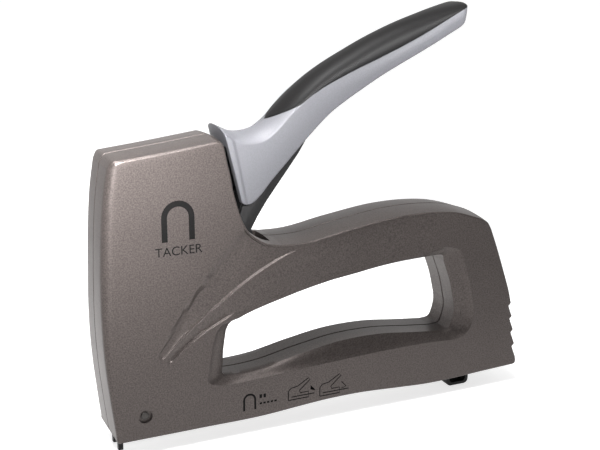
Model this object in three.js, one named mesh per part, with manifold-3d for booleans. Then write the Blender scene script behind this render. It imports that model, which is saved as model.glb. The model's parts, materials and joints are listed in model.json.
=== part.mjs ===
// Hand-squeezed staple gun: cast housing halves, silver handle with a soft grip, spring-driven hammer
// and a slide-out magazine. Millimetres, +X from nose to rear, +Y to the tool's right side, +Z up.
import * as THREE from "three";
import { mergeVertices } from "three/addons/utils/BufferGeometryUtils.js";
import Module from "manifold-3d";

const wasm = await Module();
wasm.setup();

// Driving dimensions.
const gap = 0.3; // clearance between pieces that touch
const halfLength = 97; // nose face and rear corner, each side of the middle
const halfWidth = 13; // half the casting's width
const baseHeight = 6.8; // casting's underside above the surface the tool stands on
const edgeBevel = 1.2;
const sideWall = 2.5;
const innerHalf = halfWidth - sideWall;
const holeSides = 16; // facets of a round hole or pin

const pivot = { x: -36, z: 73 }; // handle's pivot inside the neck
const liftArm = 30; // pivot to the lift tips
const handleSwing = 32; // degrees from open to squeezed
const liftRest = handleSwing / 2; // the lift tips start this far below the pivot's level
const tip = {
  x: pivot.x - liftArm * Math.cos(THREE.MathUtils.degToRad(liftRest)),
  z: pivot.z - liftArm * Math.sin(THREE.MathUtils.degToRad(liftRest)),
};
const tipRadius = 4;
const liftPin = { x: tip.x - 0.55, z: tip.z + tipRadius + 2.5 + gap, radius: 2.5 };
const pivotPinRadius = 3.5;
const pivotEyeRadius = 8;

const cheekOuter = 7; // half the handle channel's width
const cheekInner = 5;

const hammer = { front: -88.1, seat: 66, foot: 52, back: -61, halfWidth: 4.5 };
const mainSpring = { x: -78, radius: 6.6, wire: 0.9, foot: hammer.seat + gap, top: 113.9, turns: 8 };
const blade = { front: -89.4, back: -88.4, bottom: 7.6, top: 64, halfWidth: 4 };

const nosePin = { x: -82.1, z: 16.7, radius: 1.75, recessRadius: 2.9, recessDepth: 1.2 };
const nosePlate = { front: -91.7, back: -89.7 };
const legs = { inner: 2.9, outerTop: 5.6, outerTip: 4.9 };

const railTop = 15.5;
const stapleCentre = 16.7; // height of the round crown's centre
const stapleOuter = 3.9;
const stapleInner = 2.65;
const rodHeight = 17;
const stripBack = -48;
const pusherBack = -35.7;
const railBack = 85.4;
const endBlock = { front: 86, back: 94, halfWidth: 9.5, bottom: 9.6, top: 23.6 };

const screws = [
  { x: -54, z: 117 },
  { x: -57, z: 35 },
  { x: -9, z: 71.5 },
  { x: 74, z: 71 },
  { x: 79, z: 34 },
];
const screwShaft = 1.5;
const screwDepth = 9.4; // how far a shaft reaches past the seam
const screwHead = { radius: 3.8, under: 10.3, top: 12.4, recessFloor: 11.3, slotLong: 2.6, slotShort: 0.5 };

// Points, runs and outlines in the side view (x along the tool, z up).
const straight = (points) => points.map(([x, z]) => new THREE.Vector2(x, z));
const smooth = (points, steps) => new THREE.SplineCurve(straight(points)).getPoints(steps);
const outline = (...runs) => new THREE.Shape(runs.flat());

function arc(centreX, centreZ, radius, from, to, steps) {
  const start = THREE.MathUtils.degToRad(from);
  const end = THREE.MathUtils.degToRad(to);
  const points = [];
  for (let i = 0; i <= steps; i++) {
    const angle = start + ((end - start) * i) / steps;
    points.push(new THREE.Vector2(centreX + radius * Math.cos(angle), centreZ + radius * Math.sin(angle)));
  }
  return points;
}

// A side-view outline made solid from yLow to yHigh, with an optional bevel on both faces.
function plate(shape, yLow, yHigh, bevel = 0) {
  const geometry = new THREE.ExtrudeGeometry(shape, {
    depth: yHigh - yLow - 2 * bevel,
    bevelEnabled: bevel > 0,
    bevelThickness: bevel,
    bevelSize: bevel,
    bevelOffset: -bevel,
    bevelSegments: 1,
  });
  geometry.rotateX(Math.PI / 2);
  geometry.translate(0, yHigh - bevel, 0);
  return solid(geometry);
}

// A cross-section outline (y across, z up) made solid from xLow to xHigh.
function bar(shape, xLow, xHigh) {
  const geometry = new THREE.ExtrudeGeometry(shape, { depth: xHigh - xLow, bevelEnabled: false });
  geometry.rotateX(Math.PI / 2);
  geometry.rotateZ(Math.PI / 2);
  geometry.translate(xLow, 0, 0);
  return solid(geometry);
}

function box(xLow, xHigh, yLow, yHigh, zLow, zHigh) {
  const geometry = new THREE.BoxGeometry(xHigh - xLow, yHigh - yLow, zHigh - zLow);
  geometry.translate((xLow + xHigh) / 2, (yLow + yHigh) / 2, (zLow + zHigh) / 2);
  return solid(geometry);
}

function roundY(radius, yLow, yHigh, x, z) {
  const geometry = new THREE.CylinderGeometry(radius, radius, yHigh - yLow, holeSides);
  geometry.translate(x, (yLow + yHigh) / 2, z);
  return solid(geometry);
}

function roundX(radius, xLow, xHigh, y, z) {
  const geometry = new THREE.CylinderGeometry(radius, radius, xHigh - xLow, holeSides);
  geometry.rotateZ(Math.PI / 2);
  geometry.translate((xLow + xHigh) / 2, y, z);
  return solid(geometry);
}

function roundZ(radius, zLow, zHigh, x, y) {
  const geometry = new THREE.CylinderGeometry(radius, radius, zHigh - zLow, holeSides);
  geometry.rotateX(Math.PI / 2);
  geometry.translate(x, y, (zLow + zHigh) / 2);
  return solid(geometry);
}

// Wire wound into a helix about the Z axis, from z = 0 to height.
function coil(radius, wire, turns, height, stepsPerTurn, sides) {
  const points = [];
  const steps = turns * stepsPerTurn;
  const rise = height - 2 * wire;
  for (let i = 0; i <= steps; i++) {
    const angle = (2 * Math.PI * i) / stepsPerTurn;
    points.push(
      new THREE.Vector3(radius * Math.cos(angle), radius * Math.sin(angle), wire + (rise * i) / steps),
    );
  }
  const section = new THREE.Shape(arc(0, 0, wire, 0, 360 - 360 / sides, sides - 1));
  const path = new THREE.CatmullRomCurve3(points);
  return new THREE.ExtrudeGeometry(section, { steps, extrudePath: path, bevelEnabled: false });
}

// Manifold solids and three.js geometries, each way.
function solid(geometry) {
  geometry.deleteAttribute("normal");
  geometry.deleteAttribute("uv");
  const merged = mergeVertices(geometry, 1e-4);
  const mesh = new wasm.Mesh({
    numProp: 3,
    vertProperties: merged.attributes.position.array,
    triVerts: new Uint32Array(merged.index.array),
  });
  return new wasm.Manifold(mesh);
}

function geometryOf(manifold) {
  const mesh = manifold.getMesh();
  const geometry = new THREE.BufferGeometry();
  geometry.setAttribute("position", new THREE.BufferAttribute(mesh.vertProperties, 3));
  geometry.setIndex(new THREE.BufferAttribute(mesh.triVerts, 1));
  const faceted = geometry.toNonIndexed();
  faceted.computeVertexNormals();
  return faceted;
}

const finish = {
  casting: { color: 0x5f5852, roughness: 0.5, metalness: 0.6 },
  silver: { color: 0xb0b0b6, roughness: 0.45, metalness: 0.4 },
  softGrip: { color: 0x1b1b1c, roughness: 0.7, metalness: 0 },
  blackSteel: { color: 0x171516, roughness: 0.45, metalness: 0.7 },
  steel: { color: 0x8d8f92, roughness: 0.3, metalness: 0.9 },
  springSteel: { color: 0x6c6e70, roughness: 0.35, metalness: 0.9 },
  zinc: { color: 0xc4c6c8, roughness: 0.3, metalness: 0.9 },
  rubber: { color: 0x151515, roughness: 0.9, metalness: 0 },
  blackPlastic: { color: 0x202022, roughness: 0.6, metalness: 0 },
};

const group = new THREE.Group();

function add(name, piece, look) {
  const geometry = piece.isBufferGeometry ? piece : geometryOf(piece);
  const mesh = new THREE.Mesh(geometry, new THREE.MeshStandardMaterial(finish[look]));
  mesh.name = name;
  group.add(mesh);
  return mesh;
}

// Housing: outer profile, hand opening, mechanism chambers and fastening points.

const headRear = [
  [-45.6, 124], [-44.5, 118], [-43.2, 112], [-42.3, 106.5], [-41.1, 101.5],
  [-39.6, 96.6], [-38, 92.6], [-35.6, 88.6], [-32.4, 85.8], [-28.4, 83.4],
];
const gripBack = [
  [77, 80.9], [70.3, 84], [62, 86.2], [48, 88], [33.4, 88.1], [9.5, 85.2], [-13.4, 81.8], [-22, 82],
];
const rearFoot = { x: halfLength, z: 9.9 }; // the two ends of the straight rear edge
const rearHip = { x: 92.9, z: 39.5 };
const rearRidges = [17.3, 24.4, 31.2, 37.6]; // heights of the saw-tooth steps on the rear edge
const ridgeDepth = 1.5;
const ridgePitch = 7; // a notch runs from one step to the next
const openingFloor = [
  [-44, 26.8], [-31, 27.2], [-10.3, 30.8], [7.5, 33.3], [25.8, 33.4], [44.7, 31.2], [58.5, 29.6],
];
const chamberRear = [
  [-50, 124.2], [-48.2, 121], [-46.4, 111], [-44.4, 101.5], [-42.6, 94.5], [-40, 88.5], [-36.6, 84],
];

function housingOutline() {
  return outline(
    straight([[-93.6, baseHeight], [-28, baseHeight]]),
    smooth([[-14, 8], [0, 8.7], [15, 8.8], [35, 7.6], [49.5, baseHeight]], 8),
    straight([[71, 7.4], [96, 8.2], [rearFoot.x, rearFoot.z]]),
    straight([[rearHip.x, rearHip.z]]),
    smooth([[91.8, 44], [88, 55.8], [83, 70], [80.2, 77]], 5),
    smooth(gripBack, 16),
    smooth([...headRear].reverse(), 12),
    smooth([[-46.6, 126.4], [-48.2, 127.4], [-50, 127.3]], 3),
    straight([[-88.6, 123]]),
    smooth([[-90.6, 121.6], [-92.9, 112], [-95.6, 88], [-halfLength, 56], [-96.4, 28], [-94.9, 9.5]], 12),
  );
}

function openingOutline() {
  return outline(
    smooth(openingFloor, 12),
    arc(59.5, 33.9, 4.2, -70, 5, 3),
    smooth([[63.9, 41.8], [61.3, 52.8], [57.4, 63.2]], 4),
    arc(54.1, 63.2, 3.6, 25, 95, 3),
    smooth([[45, 66.5], [27, 65.7], [13.5, 63.9], [-0.2, 62], [-13.6, 59.5], [-27.5, 56.2], [-38, 53.8]], 10),
    arc(-41.6, 49.4, 3.9, 105, 165, 3),
    smooth([[-47, 38.3], [-47.6, 31]], 2),
  );
}

// The chamber that holds the hammer, the springs and the handle's pivot, opening into the magazine bay.
function mechanismChamber() {
  return outline(
    straight([[-92, 9.2], [-92, 62]]),
    smooth([[-91.6, 80], [-89.6, 104], [-87.6, 119.6]], 4),
    straight(chamberRear),
    straight([[-31.4, 80.6], [-24, 79.2], [-12.5, 78.8], [-12.5, 62.6]]),
    smooth([[-27.5, 59.2], [-38, 56.8], [-43.6, 54.4], [-48.2, 50], [-50, 39], [-50.4, 24]], 8),
    straight([[-50.4, 9.2]]),
  );
}

// Hollows in the grip and the rear post, which open only on the seam between the halves.
function gripHollow() {
  return outline(
    smooth([[-5.5, 64.2], [13, 67], [27, 68.7], [45, 69.5], [54, 69.5]], 5),
    smooth([[60.2, 64.8], [64.3, 53.5], [66.9, 42], [66.4, 33], [63, 28]], 5),
    straight([[90, 28.5], [89.6, 39], [88.4, 44]]),
    smooth([[84.8, 54.6], [80, 68], [76.8, 76.2]], 3),
    smooth([[68.8, 80.8], [60, 82.8], [47.6, 84.5], [33.6, 84.6], [10, 81.8], [-5.5, 79.8]], 7),
  );
}

function ridgeNotch(height) {
  const climbed = (height - rearFoot.z) / (rearHip.z - rearFoot.z);
  const edge = rearFoot.x + (rearHip.x - rearFoot.x) * climbed;
  const top = height + ridgePitch / 4;
  const notch = straight([[edge - ridgeDepth, height], [edge + 2, top - ridgePitch], [edge + 2, top]]);
  return plate(outline(notch), -halfWidth - 1, halfWidth + 1);
}

function housingBody() {
  const handleSlot = { xLow: -47.5, xHigh: -25.3, zLow: 70, zHigh: 97 };
  let body = plate(housingOutline(), -halfWidth, halfWidth, edgeBevel);
  const cuts = [
    plate(openingOutline(), -halfWidth - 1, halfWidth + 1),
    plate(mechanismChamber(), -innerHalf, innerHalf),
    plate(gripHollow(), -innerHalf, innerHalf),
    box(-60, 110, -innerHalf, innerHalf, 9.2, 24),
    box(-92, -79, -8.6, 8.6, 0, 12),
    box(61.5, 110, -7.2, 7.2, 0, 12),
    box(handleSlot.xLow, handleSlot.xHigh, -8, 8, handleSlot.zLow, handleSlot.zHigh),
    ...rearRidges.map(ridgeNotch),
  ];
  for (const cut of cuts) body = body.subtract(cut);
  return body;
}

// Ribs and bosses inside one half: side is -1 for the left half and 1 for the right.
function innerFeatures(side) {
  const across = (from, to) => (side < 0 ? [-to, -from] : [from, to]);
  const wallY = innerHalf + 0.4;
  const boss = (radius, from, at) => roundY(radius, ...across(from, wallY), at.x, at.z);
  const features = [
    box(-86.4, -71, ...across(gap / 2, wallY), 41, 43.7),
    box(-86.4, -70, ...across(gap / 2, wallY), 117, 122.6),
    boss(6.4, cheekOuter + gap, pivot),
    ...screws.map((at) => boss(side < 0 ? 4 : 5.4, gap / 2, at)),
  ];
  let joined = features[0];
  for (const feature of features.slice(1)) joined = joined.add(feature);
  return joined;
}

function housingHalf(side) {
  const across = (from, to) => (side < 0 ? [-to, -from] : [from, to]);
  const keep = box(-120, 120, ...across(gap / 2, halfWidth + 1), -10, 150);
  let half = housingBody().intersect(keep).add(innerFeatures(side));
  half = half.subtract(roundY(pivotPinRadius + gap, ...across(0, innerHalf), pivot.x, pivot.z));
  half = half.subtract(roundY(nosePin.radius + gap, ...across(8, halfWidth + 1), nosePin.x, nosePin.z));
  const recess = across(halfWidth - nosePin.recessDepth, halfWidth + 1);
  half = half.subtract(roundY(nosePin.recessRadius, ...recess, nosePin.x, nosePin.z));
  for (const at of screws) {
    const depth = side < 0 ? screwDepth + gap : halfWidth + 1;
    half = half.subtract(roundY(screwShaft + gap, ...across(0, depth), at.x, at.z));
    if (side > 0) {
      half = half.subtract(roundY(screwHead.radius + gap, screwHead.under - gap, halfWidth + 1, at.x, at.z));
    }
  }
  return half;
}

// A screw along Y: its shaft runs from the head on the right side into the left half's boss.
function housingScrew(at) {
  const shaft = roundY(screwShaft, -screwDepth, screwHead.under + 0.1, at.x, at.z);
  const head = roundY(screwHead.radius, screwHead.under, screwHead.top, at.x, at.z);
  const { recessFloor, top, slotLong: long, slotShort: short } = screwHead;
  const slot = box(at.x - long, at.x + long, recessFloor, top + 1, at.z - short, at.z + short);
  const crossSlot = box(at.x - short, at.x + short, recessFloor, top + 1, at.z - long, at.z + long);
  return shaft.add(head).subtract(slot).subtract(crossSlot);
}

// Nose: the steel plate the blade slides behind, with two legs that straddle a cable.

function noseGuide() {
  let guide = box(nosePlate.front, nosePlate.back, -8.3, 8.3, 7.2, 60);
  for (const side of [-1, 1]) {
    const leg = new THREE.Shape([
      new THREE.Vector2(side * legs.inner, 0),
      new THREE.Vector2(side * legs.outerTip, 0),
      new THREE.Vector2(side * legs.outerTop, 8),
      new THREE.Vector2(side * legs.inner, 8),
    ]);
    const flange = side < 0 ? [-8.3, -7] : [7, 8.3];
    guide = guide.add(bar(leg, nosePlate.front, nosePlate.back));
    guide = guide.add(box(nosePlate.front, -78, ...flange, 10, 24));
    guide = guide.subtract(roundY(nosePin.radius + gap, flange[0] - 1, flange[1] + 1, nosePin.x, nosePin.z));
  }
  return guide.subtract(roundX(legs.inner, nosePlate.front - 1, nosePlate.back + 1, 0, 7.2));
}

function nosePinPiece(side) {
  const span = side < 0 ? [-12.3, -6.2] : [6.2, 12.3];
  return roundY(nosePin.radius, ...span, nosePin.x, nosePin.z);
}

// Hammer, blade and main spring.

function hammerBlock() {
  const side = outline(
    straight([
      [hammer.front, hammer.foot], [-70, hammer.foot], [-66, 58], [hammer.back, 64],
      [hammer.back, 74], [-63, 76.4], [-69, 76.4], [-69.6, hammer.seat], [hammer.front, hammer.seat],
    ]),
  );
  const peg = roundX(2, blade.front + 0.1, hammer.front + 1, 0, 58);
  const body = plate(side, -hammer.halfWidth, hammer.halfWidth).add(peg);
  const seatRing = roundZ(7.5, hammer.foot + 2, hammer.seat, mainSpring.x, 0);
  return body.add(seatRing).subtract(roundY(liftPin.radius + gap, -20, 20, liftPin.x, liftPin.z));
}

function driverBlade() {
  const plateBody = box(blade.front, blade.back, -blade.halfWidth, blade.halfWidth, blade.bottom, blade.top);
  return plateBody.subtract(roundX(2 + gap, blade.front - 1, blade.back + 1, 0, 58));
}

function mainSpringCoil() {
  const { x, radius, wire, foot, top, turns } = mainSpring;
  const geometry = coil(radius, wire, turns, top - foot, 10, 5);
  geometry.translate(x, 0, foot);
  return geometry;
}

// Handle: silver shell, soft grip and the black channel that works the hammer.

const shellUnder = [
  [-33.5, 99.3], [-30.2, 101], [-27, 104.8], [-18.5, 113.7], [-7.8, 124.5],
  [-1, 131], [15, 141.4], [31.3, 149.9], [48, 157.8], [61.9, 165],
];
const shellTop = [
  [65.5, 173.5], [56.1, 169.5], [39.4, 161.3], [22.9, 154.1], [6.8, 147.3], [-9.1, 140.4], [-16.4, 136.7],
];
const saddle = [
  [-21.2, 133.2], [-24.8, 130.7], [-28.6, 128.5], [-33, 127.2], [-38, 127], [-42.2, 128.4], [-45, 130.4],
];
const flangeFront = [
  [-46.4, 130.2], [-44.8, 126], [-43.7, 123.2], [-42.5, 117.2],
  [-41.2, 111.4], [-40.2, 105.7], [-39, 101], [-38.3, 99.4],
];
const flangeRear = [[-35, 99.4], [-37, 104.2], [-38.6, 110.6], [-40.1, 118.5], [-42, 126.4], [-44, 130.6]];
const shellHalfWidth = 9.2;
const flangeHalfWidth = 10;
const shellWall = 2.6;

// Pillars inside the shell take the screws that hold the channel; each leans with the handle.
const shellScrews = [{ x: -4, z: 137.4, lean: 27 }, { x: 19, z: 147.4, lean: 26 }];

function leverShell() {
  const side = outline(
    smooth(shellUnder, 16),
    smooth([[65.8, 168.8], [66.6, 172], [66.3, 173.4]], 3),
    smooth(shellTop, 8),
    smooth(saddle, 8),
    straight([[-44.6, 126], [-42.6, 112]]),
  );
  const flange = outline(smooth(flangeFront, 9), straight(flangeRear));
  const hollow = outline(
    straight([[60, 150], [60, 168.2]]),
    smooth(shellTop.slice(1).map(([x, z]) => [x + 1.2, z - shellWall]), 7),
    smooth([[-19.2, 132.4], [-23.4, 128.4], [-28, 125.6], [-33, 124.4], [-38, 124.2]], 5),
    straight([[-60, 124.2], [-60, 90], [-10, 90]]),
  );
  const lip = plate(flange, -flangeHalfWidth, flangeHalfWidth);
  const body = plate(side, -shellHalfWidth, shellHalfWidth).add(lip);
  let shell = body.subtract(plate(hollow, -cheekOuter - gap, cheekOuter + gap));
  for (const at of shellScrews) {
    shell = shell.add(leaning(roundZ(3, gap, 4.2, 0, 0), at));
    shell = shell.subtract(leaning(roundZ(1.3 + gap, 0, 3.6, 0, 0), at));
  }
  return shell;
}

function leaning(manifold, at) {
  return manifold.rotate([0, -at.lean, 0]).translate([at.x, 0, at.z]);
}

function shellScrew(at) {
  const screw = roundZ(1.3, -3.5, 3.3, 0, 0).add(roundZ(2.4, -4.8, -3.1, 0, 0));
  const slot = box(-3, 3, -0.4, 0.4, -5, -4.1);
  return leaning(screw.subtract(slot), at);
}

const channelTop = [
  [30, 151.4], [14, 145], [-2, 138.2], [-10.6, 134.2], [-19.2, 127.4], [-26.4, 119], [-32.4, 107.6],
];
const channelFront = [[-36.6, 98], [-39.4, 90], [-42.4, 82.4], [-45.5, 76]];
const channelUnder = [
  [-33, 87.8], [-30.2, 92.8], [-26.3, 98.7], [-21.5, 105], [-16.7, 111.2], [-11.9, 117.5], [-7.8, 124.1],
  [-2.4, 132.6],
];

// The channel's side view: handle end, pivot eye and the lift arm with its round tip.
function channelOutline() {
  const armHalf = 3.4;
  return outline(
    straight(channelTop),
    straight(channelFront),
    straight([[-50, 73.2]]),
    arc(tip.x, tip.z, tipRadius, 95, 265, 6),
    straight([[tip.x + 3, tip.z - armHalf], [-44, 65.4]]),
    arc(pivot.x, pivot.z, pivotEyeRadius, -120, 40, 8),
    straight(channelUnder),
    straight([[14.1, 142.4], [30, 150]]),
  );
}

function leverChannel() {
  const inside = outline(
    straight(channelTop.map(([x, z]) => [x + 0.9, z - 1.9])),
    straight([[-31.2, 104], [-90, 104], [-90, 40], [40, 40], [40, 150.5]]),
  );
  let channel = plate(channelOutline(), -cheekOuter, cheekOuter);
  channel = channel.subtract(plate(inside, -cheekInner, cheekInner));
  channel = channel.subtract(roundY(pivotPinRadius + gap, -20, 20, pivot.x, pivot.z));
  for (const at of shellScrews) channel = channel.subtract(leaning(roundZ(1.3 + gap, -5, 2, 0, 0), at));
  return channel;
}

function gripCover() {
  const seat = shellTop.map(([x, z]) => [x - 0.1, z + gap + 0.1]).reverse();
  const crown = [
    [67.2, 174.9], [63.1, 174.9], [54.3, 173.4], [45.7, 171], [37.2, 168.2], [28.8, 165],
    [20.5, 161.4], [12.3, 157.3], [4.1, 152.9], [-4, 148], [-11.9, 142.4],
  ];
  const half = shellHalfWidth - 0.2;
  return plate(outline(smooth(seat, 8), straight([[66.9, 174.5]]), smooth(crown, 14)), -half, half);
}

// Springs, pads and caps that stay in the housing.

function pivotPin() {
  return roundY(pivotPinRadius, -10.2, 10.2, pivot.x, pivot.z);
}

// Return spring wound round the pivot pin, inside the channel.
function returnSpringCoil() {
  const wire = 0.6;
  const geometry = coil(4.6, wire, 5, 8, 9, 4);
  geometry.rotateX(Math.PI / 2);
  geometry.translate(pivot.x, 4, pivot.z);
  return geometry;
}

function springCap() {
  return roundZ(8, mainSpring.top + gap, 116.7, mainSpring.x, 0);
}

function bumper() {
  return box(-86.2, -71.4, -6, 6, 44, hammer.foot - gap);
}

function bladeGuide() {
  return box(-88.1, -86.7, -7, 7, 25.6, 40.6).add(box(-88.1, -84.5, -7, 7, 24.4, 25.7));
}

// Magazine: fixed track, sliding rail, staples, pusher and its spring.

function arch(outer, inner, bottom) {
  const left = arc(0, stapleCentre, outer, 0, 180, 10);
  const right = arc(0, stapleCentre, inner, 180, 0, 8);
  const leftFoot = straight([[-outer, bottom], [-inner, bottom]]);
  const rightFoot = straight([[inner, bottom], [outer, bottom]]);
  return new THREE.Shape([...left, ...leftFoot, ...right, ...rightFoot]);
}

function magazineTrack() {
  const outer = box(-86.2, 78, -5.9, 5.9, 9.5, 22.6);
  return outer.subtract(box(-90, 90, -4.9, 4.9, 0, 21.6));
}

function magazineRail() {
  const outer = box(-86.4, railBack, -2.3, 2.3, 9.5, railTop);
  return outer.subtract(box(-90, railBack + 1, -1.4, 1.4, 0, railTop - 1));
}

function stapleStrip() {
  return bar(arch(stapleOuter, stapleInner, 9.6), blade.back + gap, stripBack);
}

function pusher() {
  const block = box(stripBack + gap, pusherBack, -4.3, 4.3, 9.7, 20.9);
  const railSlot = box(-60, 0, -2.6, 2.6, 0, railTop + gap);
  return block.subtract(railSlot).subtract(roundX(1.5, -60, 0, 0, rodHeight + 0.6));
}

function pusherRod() {
  return roundX(0.9, -85, 87, 0, rodHeight + 0.6);
}

function pusherSpringCoil() {
  const length = railBack - pusherBack - 2 * gap;
  const geometry = coil(1.75, 0.35, 14, length, 7, 4);
  geometry.rotateY(Math.PI / 2);
  geometry.translate(pusherBack + gap, 0, rodHeight + 0.6);
  return geometry;
}

function magazineEnd() {
  const { front, back, halfWidth: half, bottom, top } = endBlock;
  let block = box(front, back, -half, half, bottom, top);
  for (const z of [12.4, 15.6, 18.8]) block = block.subtract(box(back - 0.8, back + 1, -7, 7, z, z + 1.2));
  return block.subtract(roundX(0.9 + gap, front - 1, 88, 0, rodHeight + 0.6));
}

// The bent steel tab under the tail carries the tool's rear and pulls the magazine out.
function magazineTab() {
  const foot = outline(
    straight([[63.8, 9.2]]),
    arc(66, 2.2, 2.2, 180, 270, 4),
    arc(73, 2.2, 2.2, 270, 360, 4),
    straight([[75.2, 7.7], [endBlock.back - 0.4, 7.7], [endBlock.back - 0.4, 9.2]]),
  );
  const inside = straight([[65.3, 7.7], [73.7, 7.7], [73.7, 2.6], [72.6, 1.5], [66.4, 1.5], [65.3, 2.6]]);
  foot.holes.push(new THREE.Path(inside));
  return plate(foot, -6, 6);
}

function detentLeaf() {
  const under = [[62, 22.95], [79, 22.95], [82.4, 22.2], [85.4, 22.95]];
  const upper = under.map(([x, z]) => [x, z + 0.5]).reverse();
  return plate(outline(straight(under), straight(upper)), -3, 3);
}

add("left_housing", housingHalf(-1), "casting");
add("right_housing", housingHalf(1), "casting");
screws.forEach((at, i) => add("housing_screw_" + (i + 1), housingScrew(at), "zinc"));
add("nose_guide", noseGuide(), "blackSteel");
add("left_nose_pin", nosePinPiece(-1), "steel");
add("right_nose_pin", nosePinPiece(1), "steel");
add("blade_guide", bladeGuide(), "steel");
add("bumper", bumper(), "rubber");
add("spring_cap", springCap(), "steel");
add("main_spring", mainSpringCoil(), "springSteel");
add("pivot_pin", pivotPin(), "steel");
add("return_spring", returnSpringCoil(), "springSteel");
add("magazine_track", magazineTrack(), "steel");
add("detent_leaf", detentLeaf(), "springSteel");

add("hammer", hammerBlock(), "steel");
add("driver_blade", driverBlade(), "steel");
add("lift_pin", roundY(liftPin.radius, -7.2, 7.2, liftPin.x, liftPin.z), "steel");

add("lever_shell", leverShell(), "silver");
add("grip_cover", gripCover(), "softGrip");
add("lever_channel", leverChannel(), "blackSteel");
shellScrews.forEach((at, i) => add("shell_screw_" + (i + 1), shellScrew(at), "zinc"));

add("magazine_rail", magazineRail(), "steel");
add("magazine_end", magazineEnd(), "blackPlastic");
add("magazine_tab", magazineTab(), "blackSteel");
add("pusher_rod", pusherRod(), "steel");
add("staple_strip", stapleStrip(), "zinc");
add("pusher", pusher(), "blackPlastic");
add("pusher_spring", pusherSpringCoil(), "springSteel");

export default group;
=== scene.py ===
import json
import math

import bpy
import numpy as np
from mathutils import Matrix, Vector

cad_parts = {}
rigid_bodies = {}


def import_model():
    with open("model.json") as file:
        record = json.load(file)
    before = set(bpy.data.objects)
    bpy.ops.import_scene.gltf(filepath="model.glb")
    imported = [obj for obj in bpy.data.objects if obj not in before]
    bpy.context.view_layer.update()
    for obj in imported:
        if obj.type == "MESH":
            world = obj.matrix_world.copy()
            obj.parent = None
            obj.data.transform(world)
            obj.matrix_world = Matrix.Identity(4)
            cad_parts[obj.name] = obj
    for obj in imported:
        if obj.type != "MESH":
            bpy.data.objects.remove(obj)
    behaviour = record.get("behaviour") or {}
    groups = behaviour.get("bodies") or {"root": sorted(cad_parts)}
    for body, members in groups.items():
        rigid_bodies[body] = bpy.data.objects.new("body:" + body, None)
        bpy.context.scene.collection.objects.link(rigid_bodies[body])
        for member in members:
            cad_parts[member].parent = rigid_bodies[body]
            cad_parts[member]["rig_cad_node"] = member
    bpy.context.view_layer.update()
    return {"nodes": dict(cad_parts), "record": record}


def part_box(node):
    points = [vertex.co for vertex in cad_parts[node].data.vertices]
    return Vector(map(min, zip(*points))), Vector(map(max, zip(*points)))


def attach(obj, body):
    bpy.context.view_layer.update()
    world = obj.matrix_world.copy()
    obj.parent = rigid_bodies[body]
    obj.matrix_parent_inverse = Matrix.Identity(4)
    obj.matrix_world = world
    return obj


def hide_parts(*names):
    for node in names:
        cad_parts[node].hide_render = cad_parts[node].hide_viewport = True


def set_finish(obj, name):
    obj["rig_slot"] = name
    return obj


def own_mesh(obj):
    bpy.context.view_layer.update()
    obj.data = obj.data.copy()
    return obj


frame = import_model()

mm = 0.001
print("frame loaded:", len(frame["nodes"]), "nodes")

# camera: three-quarter view from the front left, slightly above
cameraSetup = {
    "azimuth": -24.46, "elevation": 16.0, "distance": 0.47446,
    "target": (-0.008055, 0.0, 0.08472), "lens": 67.54,
}


def placeCamera():
    s = cameraSetup
    a, e = math.radians(s["azimuth"]), math.radians(s["elevation"])
    back = Vector((math.sin(a) * math.cos(e), -math.cos(a) * math.cos(e), math.sin(e)))
    bpy.ops.object.camera_add(location=Vector(s["target"]) + back * s["distance"])
    cam = bpy.context.object
    cam.rotation_euler = (-back).to_track_quat("-Z", "Y").to_euler()
    cam.data.lens = s["lens"]
    cam.data.clip_start = 0.01
    bpy.context.scene.camera = cam


placeCamera()


# helpers that the pieces share


def evenSteps(points, count):
    length = np.concatenate([[0], np.cumsum(np.linalg.norm(np.diff(points, axis=0), axis=1))])
    at = np.linspace(0, length[-1], count)
    return np.stack([np.interp(at, length, points[:, k]) for k in range(points.shape[1])], axis=1)


def smoothThrough(points, count):
    # a smooth curve through a few points, then evenly spaced points on it
    p = np.array(points, float)
    t = np.concatenate([[0], np.cumsum(np.linalg.norm(np.diff(p, axis=0), axis=1))])
    slope = np.gradient(p, t, axis=0)
    fine = np.linspace(0, t[-1], 30 * len(p))
    k = np.clip(np.searchsorted(t, fine, side="right") - 1, 0, len(p) - 2)
    h = (t[k + 1] - t[k])[:, None]
    s = (fine - t[k])[:, None] / h
    curve = (2 * s**3 - 3 * s**2 + 1) * p[k] + (s**3 - 2 * s**2 + s) * h * slope[k]
    curve += (3 * s**2 - 2 * s**3) * p[k + 1] + (s**3 - s**2) * h * slope[k + 1]
    return evenSteps(curve, count)


def smoothStep(x, low, high):
    s = np.clip((x - low) / (high - low), 0, 1)
    return s * s * (3 - 2 * s)


def loftGrid(name, places):
    # a grid primitive whose rows and columns are laid over the form; rows or columns that meet are welded
    rows, columns = places.shape[:2]
    bpy.ops.object.select_all(action="DESELECT")
    bpy.ops.mesh.primitive_grid_add(x_subdivisions=columns - 1, y_subdivisions=rows - 1, size=1)
    piece = bpy.context.object
    piece.name = piece.data.name = name
    count = rows * columns
    co = np.empty(count * 3)
    piece.data.vertices.foreach_get("co", co)
    co = co.reshape(-1, 3)
    column = np.rint((co[:, 0] + 0.5) * (columns - 1)).astype(int)
    row = np.rint((co[:, 1] + 0.5) * (rows - 1)).astype(int)
    piece.data.vertices.foreach_set("co", (places[row, column] * mm).ravel())
    bpy.ops.object.mode_set(mode="EDIT")
    bpy.ops.mesh.select_all(action="SELECT")
    bpy.ops.mesh.remove_doubles(threshold=0.000004)
    bpy.ops.mesh.dissolve_degenerate(threshold=0.000002)
    bpy.ops.mesh.normals_make_consistent(inside=False)
    bpy.ops.object.mode_set(mode="OBJECT")
    return piece


def smoothByAngle(piece, degrees):
    bpy.ops.object.select_all(action="DESELECT")
    piece.select_set(True)
    bpy.context.view_layer.objects.active = piece
    bpy.ops.object.shade_smooth_by_angle(angle=math.radians(degrees))


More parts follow.
